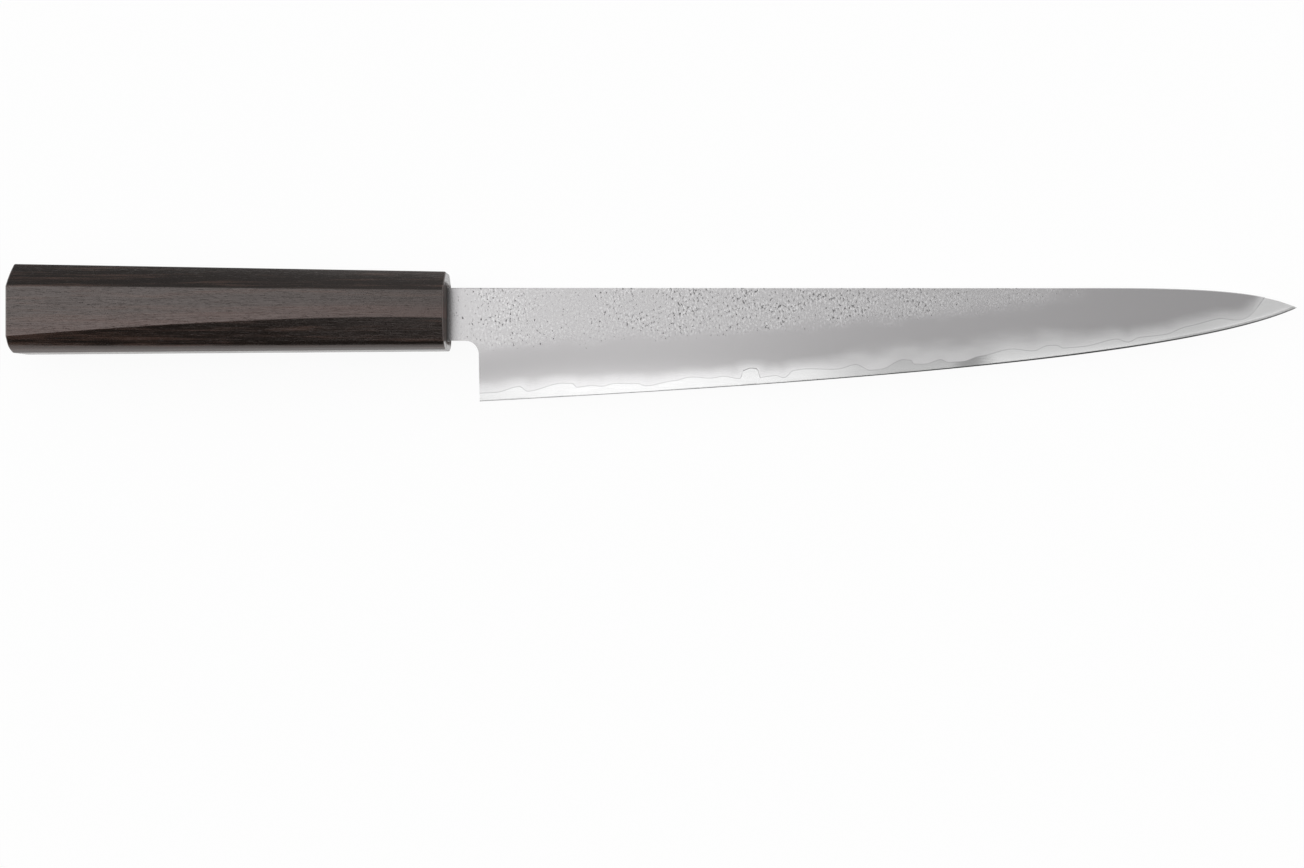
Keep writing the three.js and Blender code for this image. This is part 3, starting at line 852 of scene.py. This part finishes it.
class Handle:
    """Octagonal handle with bevels along the bottom. The first half of a ring's corners goes
    up one side, the other half down the other."""

    CROWN_STEPS = [step / 4 for step in range(5)]
    ROUND_STEPS = [step / 9 for step in range(10)]
    CORNERS = 2 * (2 + len(CROWN_STEPS) + len(ROUND_STEPS))

    def __init__(self, sizes, blade):
        self.sizes = sizes
        self.blade = blade

    def mirrored(self, side):
        """All corners from those of one side."""
        return [(y, -z) for y, z in side] + side[::-1]

    def ridge(self, x):
        """Lower edge of the side facet: a bowed line from butt to front."""
        sizes = self.sizes
        start = (-sizes.length, -sizes.ridge_butt)
        bow = (-sizes.ridge_bow_back, -sizes.ridge_bow_drop)
        end = (0, -sizes.ridge_front)
        way = np.linspace(0, 1, RIDGE_POINTS)
        xs, ys = (
            (1 - way) ** 2 * a + 2 * way * (1 - way) * b + way**2 * c
            for a, b, c in zip(start, bow, end)
        )
        return float(np.interp(x, xs, ys))

    def top_bevel(self, top, height):
        """Crowned bevel from the side facet up to the flat along the top."""
        sizes = self.sizes
        depth = sizes.top_bevel_depth
        length = math.hypot(height, depth)
        points = []
        for way in self.CROWN_STEPS:
            bulge = sizes.top_bevel_crown * 4 * way * (1 - way) / length
            y = top - height * (1 - way) + bulge * depth
            points.append((y, sizes.width / 2 - depth * way + bulge * height))
        return points

    def rounded(self, before, corner, after):
        """The corner above the belly bevel, rounded off."""
        before, corner, after = Vector(before), Vector(corner), Vector(after)
        reach = self.sizes.belly_round
        start, end = (corner + (point - corner).normalized() * reach for point in (before, after))
        return [
            tuple(start.lerp(corner, way).lerp(corner.lerp(end, way), way))
            for way in self.ROUND_STEPS
        ]

    def ring(self, x, inset=0.0):
        """Corners of the handle at one place along it, drawn in all round by the inset."""
        sizes = self.sizes
        back = -x / sizes.length

        def taper(front, butt):
            return front + (butt - front) * back

        middle = taper(0, sizes.butt_rise)
        half = taper(sizes.front_height, sizes.butt_height) / 2
        half_width = sizes.width / 2
        bevel = taper(sizes.top_bevel_front, sizes.top_bevel_butt)
        bottom = (middle - half, sizes.bottom_width / 2)
        belly = middle - half + taper(sizes.belly_front, sizes.belly_butt)
        corner = (belly, half_width - sizes.lower_lean)
        ridge = (self.ridge(x), half_width)
        side = [
            bottom,
            *self.rounded(bottom, corner, ridge),
            ridge,
            *self.top_bevel(middle + half, bevel),
        ]
        squeezed = [
            (middle + (y - middle) * (1 - inset / half), z * (1 - inset / half_width))
            for y, z in side
        ]
        return x, self.mirrored(squeezed)

    def slot(self, x):
        """Outline of the slot for the tang, with as many points as the handle has corners."""
        sizes, blade = self.sizes, self.blade
        reach = sizes.bed_margin + sizes.fit
        half = blade.sizes.spine_thickness / 2 + reach
        ys = np.linspace(blade.tang_bottom - reach, blade.tang_top + reach, self.CORNERS // 2)
        return x, self.mirrored([(float(y), half) for y in ys])


def make_handle(handle):
    """The handle, from the end of its slot out to the front, then back to the butt."""
    sizes = handle.sizes
    depth = handle.blade.sizes.tang_length + sizes.bed_end + sizes.fit
    facets = np.linspace(-sizes.front_chamfer, sizes.butt_chamfer - sizes.length, FACET_RINGS)
    rings = [handle.slot(-depth), handle.slot(0.0), handle.ring(0.0, sizes.front_chamfer)]
    rings += [handle.ring(float(x)) for x in facets]
    rings.append(handle.ring(-sizes.length, sizes.butt_chamfer))
    bm = bmesh.new()

    def place(corner, ring):
        x, corners = ring
        return (x, *corners[corner % handle.CORNERS])

    lattice(bm, range(handle.CORNERS + 1), rings, place)
    weld(bm)
    bmesh.ops.holes_fill(bm, edges=[edge for edge in bm.edges if edge.is_boundary], sides=0)
    smooth_out(bm)
    over_ridge = bm.verts.layers.float.new("over_ridge")
    for vertex in bm.verts:
        vertex[over_ridge] = (vertex.co.y - handle.ridge(vertex.co.x)) / MM
    return bm


def make_seal(handle):
    """A bead of filler around the tang, between the handle and the neck."""
    sizes, blade = handle.sizes, handle.blade
    lip, fit = sizes.seal_lip, sizes.fit
    half_spine = blade.sizes.spine_thickness / 2
    inner = (blade.tang_bottom - fit, blade.tang_top + fit, half_spine + fit)
    outer = (blade.neck_y - lip, blade.sizes.spine_rise + lip, half_spine + sizes.bed_margin + lip)
    rings = [(0.0, inner), (0.0, outer), (SEAL_THICKNESS, outer), (SEAL_THICKNESS, inner)]
    bm = bmesh.new()

    def place(corner, ring):
        x, (low, high, half) = ring
        y = high if corner % 4 in (1, 2) else low
        return (x, y, half if corner % 4 in (2, 3) else -half)

    lattice(bm, range(5), [*rings, rings[0]], place)
    weld(bm)
    corners = [edge for edge in bm.edges if edge.calc_face_angle() > CRISP_ANGLE]
    half = SEAL_THICKNESS / 2
    rounded = [edge for edge in corners if all(v.co.x > half for v in edge.verts)]
    shape = {"affect": "EDGES", "segments": ROUND_SEGMENTS, "profile": 0.5, "material": -1}
    bmesh.ops.bevel(bm, geom=rounded, offset=sizes.seal_ease, **shape)
    close_up(bm)
    return bm


def ease_edges(piece, width):
    """Round every edge between two facets."""
    bevel = piece.modifiers.new("eased_edges", "BEVEL")
    bevel.width = width
    bevel.segments = ROUND_SEGMENTS
    bevel.limit_method = "ANGLE"
    bevel.angle_limit = math.radians(10)
    bevel.harden_normals = True


# Stage


def stage_piece(bm, name, material):
    """Put a mesh in the scene that isn't part of the knife."""
    piece = add_piece(bm, name, material)
    return piece


def white_floor(settings, tint):
    """A pale floor that shows white, with the knife's shadow on it."""
    material, paint = new_material("floor")
    path = paint.node("ShaderNodeLightPath")
    kinds = ("Is Camera Ray", "Is Glossy Ray", "Is Transmission Ray")
    seen = sum(Value(paint, path.outputs[kind]) for kind in kinds).at_most(1)
    matt = paint.node("ShaderNodeBsdfDiffuse", {"Color": (*tint, 1)})
    left = 1 - settings.floor_glow
    shaded = paint.node("ShaderNodeBsdfDiffuse", {"Color": (left, left, left, 1)})
    glow = paint.node("ShaderNodeEmission", {"Strength": settings.floor_glow})
    white = paint.node("ShaderNodeAddShader", {0: shaded.outputs[0], 1: glow.outputs[0]})
    ways = {0: seen, 1: matt.outputs[0], 2: white.outputs[0]}
    paint.output(paint.node("ShaderNodeMixShader", ways))
    return material


def studio_sky(world):
    """Soft light from above: brightest to the left, falling off to the right, with a band
    of light on the edge's side and a pale backdrop all round. The direction's parts go from
    -1 to 1: x to the tip, y to the spine and z up."""
    world.use_nodes = True
    paint = Paint(world.node_tree)
    direction = paint.node("ShaderNodeTexCoord").outputs["Generated"]
    x, y, z = paint.parts(direction)
    ceiling = paint.ease(x, -0.17, -0.02, 0.64, 1.0) * paint.ease(x, 0.0, 0.16, 1.0, 0.60)
    ceiling = ceiling * paint.ease(x, 0.25, 0.34, 1.0, 0.78) * paint.ease(y, -0.02, 0.08, 0.86, 1.0)
    lamps = paint.ease(x, -0.12, 0.0, 1.05, 0.85) * paint.ease(x, 0.08, 0.15, 1.0, 0.4)
    lamps = lamps + paint.ease(x, 0.22, 0.30, 0.0, 0.25)
    band = lamps * paint.fall(y, -0.13, -0.09)
    edge_side = paint.ease(y, -0.35, -0.25)
    over_blade = (ceiling + band) * edge_side * paint.ease(y, 0.22, 0.36, 1.0, 0.55)
    over_handle = paint.ease(y, -0.08, 0.0, 0.0, 1.78) * paint.fall(y, 0.22, 0.36)
    left = paint.fall(x - paint.ease(y, -0.30, -0.15, 0.03, 0.0), -0.19, -0.14)
    inner = over_blade * (1 - left) + over_handle * left
    sides = paint.ease(x * x, 0.30, 0.55, 0.0, 1.3) * paint.fall(y * y, 0.12, 0.35)
    back = paint.ease(y, 0.30, 0.50, 0.0, 0.7) * paint.ease(z, 0.25, 0.45)
    horizon = paint.fall(z, 0.20, 0.34)
    dimmest = 0.04
    strength = (inner + sides + back + dimmest) * (1 - horizon) + horizon
    lit = paint.node("ShaderNodeBackground", {"Color": (1, 1, 1, 1), "Strength": strength})
    paint.output(lit, "World")


def shade_card(settings):
    """A dark card behind the handle that only its reflections show."""
    material, paint = new_material("shade_card")
    along, _, _ = paint.parts(paint.node("ShaderNodeTexCoord").outputs["Object"])
    ends = (settings.card_glow_butt, settings.card_glow_front)
    glow = paint.ease(along, WOOD_LOW.x, WOOD_HIGH.x, *ends)
    paint.output(paint.node("ShaderNodeEmission", {"Strength": glow}))
    bm = bmesh.new()
    bmesh.ops.create_grid(bm, x_segments=1, y_segments=1, size=0.5)
    for vertex in bm.verts:
        along = WOOD_LOW.x - settings.card_reach + (vertex.co.x + 0.5) * settings.card_width
        vertex.co = (along, settings.card_distance, (vertex.co.y + 0.5) * settings.card_height)
    card = stage_piece(bm, "shade_card", material)
    card.visible_camera = False
    card.visible_diffuse = False
    card.visible_shadow = False
    card.visible_transmission = False


def photograph_camera(settings):
    """Camera straight above the knife, framed as the photograph."""
    lens = bpy.data.cameras.new("camera")
    lens.sensor_fit = "HORIZONTAL"
    lens.sensor_width = 36
    lens.lens = lens.sensor_width * settings.view_distance / settings.view_width
    lens.clip_start = 10 * MM
    camera = bpy.data.objects.new("camera", lens)
    bpy.context.scene.collection.objects.link(camera)
    camera.location = (settings.view_x, -settings.view_drop, MIDDLE + settings.view_distance)
    bpy.context.scene.camera = camera


# Operators


class KNIFE_OT_core(bpy.types.Operator):
    """Make the hard core of the blade, with its edge, tip and tang"""

    bl_idname = "knife.core"
    bl_label = "Core"

    def execute(self, context):
        scene = context.scene
        bm = make_core(Blade(scene.knife_blade))
        keep(bm, "core_steel", core_metal(scene.knife_finishes))
        return {"FINISHED"}


class KNIFE_OT_claddings(bpy.types.Operator):
    """Make the softer layers on both sides of the core"""

    bl_idname = "knife.claddings"
    bl_label = "Claddings"

    def execute(self, context):
        scene = context.scene
        steel = cladding_steel(scene.knife_finishes)
        for name, hand in (("right_cladding", 1), ("left_cladding", -1)):
            bm = make_cladding(Blade(scene.knife_blade), hand)
            keep(bm, name, steel)
        return {"FINISHED"}


class KNIFE_OT_handle(bpy.types.Operator):
    """Make the wooden handle with the slot for the tang"""

    bl_idname = "knife.handle"
    bl_label = "Handle"

    def execute(self, context):
        scene = context.scene
        bm = make_handle(Handle(scene.knife_handle, Blade(scene.knife_blade)))
        piece = keep(bm, "handle_body", dark_wood(scene.knife_finishes))
        ease_edges(piece, scene.knife_handle.edge_ease)
        return {"FINISHED"}


class KNIFE_OT_seal(bpy.types.Operator):
    """Make the dark bead where the blade enters the handle"""

    bl_idname = "knife.seal"
    bl_label = "Mouth seal"

    def execute(self, context):
        scene = context.scene
        bm = make_seal(Handle(scene.knife_handle, Blade(scene.knife_blade)))
        keep(bm, "mouth_seal", dark_filler(scene.knife_finishes))
        return {"FINISHED"}


class KNIFE_OT_resin(bpy.types.Operator):
    """Finish the resin that holds the tang"""

    bl_idname = "knife.resin"
    bl_label = "Resin"

    def execute(self, context):
        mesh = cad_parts["tang_bed"].data
        mesh.materials.clear()
        mesh.materials.append(amber_resin(context.scene.knife_finishes))
        return {"FINISHED"}


class KNIFE_OT_stage(bpy.types.Operator):
    """Make the floor, the light and the camera"""

    bl_idname = "knife.stage"
    bl_label = "Stage"

    def execute(self, context):
        scene = context.scene
        settings = scene.knife_stage
        bm = bmesh.new()
        bmesh.ops.create_circle(bm, cap_ends=True, segments=64, radius=settings.floor_radius)
        bmesh.ops.translate(bm, verts=bm.verts, vec=(0, 0, CAD_LOW.z - settings.floor_gap))
        stage_piece(bm, "floor", white_floor(settings, scene.knife_finishes.floor))
        shade_card(settings)
        scene.world = bpy.data.worlds.new("studio")
        studio_sky(scene.world)
        photograph_camera(settings)
        scene.view_settings.view_transform = "Standard"
        return {"FINISHED"}


class KNIFE_PT_panel(bpy.types.Panel):
    """Lists the pieces of the knife and their sizes"""

    bl_idname = "KNIFE_PT_panel"
    bl_label = "Sujihiki knife"
    bl_space_type = "VIEW_3D"
    bl_region_type = "UI"
    bl_category = "Knife"

    def draw(self, context):
        for operator in OPERATORS:
            self.layout.operator(operator.bl_idname)
        for name, group in GROUPS.items():
            box = self.layout.box()
            for setting in group.__annotations__:
                box.prop(getattr(context.scene, name), setting)


OPERATORS = (
    KNIFE_OT_core, KNIFE_OT_claddings, KNIFE_OT_handle,
    KNIFE_OT_seal, KNIFE_OT_resin, KNIFE_OT_stage,
)
GROUPS = {
    "knife_blade": BladeSizes,
    "knife_handle": HandleSizes,
    "knife_finishes": Finishes,
    "knife_stage": StageSizes,
}


def register():
    for group in GROUPS.values():
        bpy.utils.register_class(group)
    for name, group in GROUPS.items():
        setattr(bpy.types.Scene, name, PointerProperty(type=group))
    for operator in OPERATORS:
        bpy.utils.register_class(operator)
    bpy.utils.register_class(KNIFE_PT_panel)


def unregister():
    bpy.utils.unregister_class(KNIFE_PT_panel)
    for operator in reversed(OPERATORS):
        bpy.utils.unregister_class(operator)
    for name, group in GROUPS.items():
        delattr(bpy.types.Scene, name)
        bpy.utils.unregister_class(group)


def main():
    register()
    bpy.ops.knife.core()
    bpy.ops.knife.claddings()
    bpy.ops.knife.handle()
    bpy.ops.knife.seal()
    bpy.ops.knife.resin()
    bpy.ops.knife.stage()


if __name__ == "__main__":
    main()
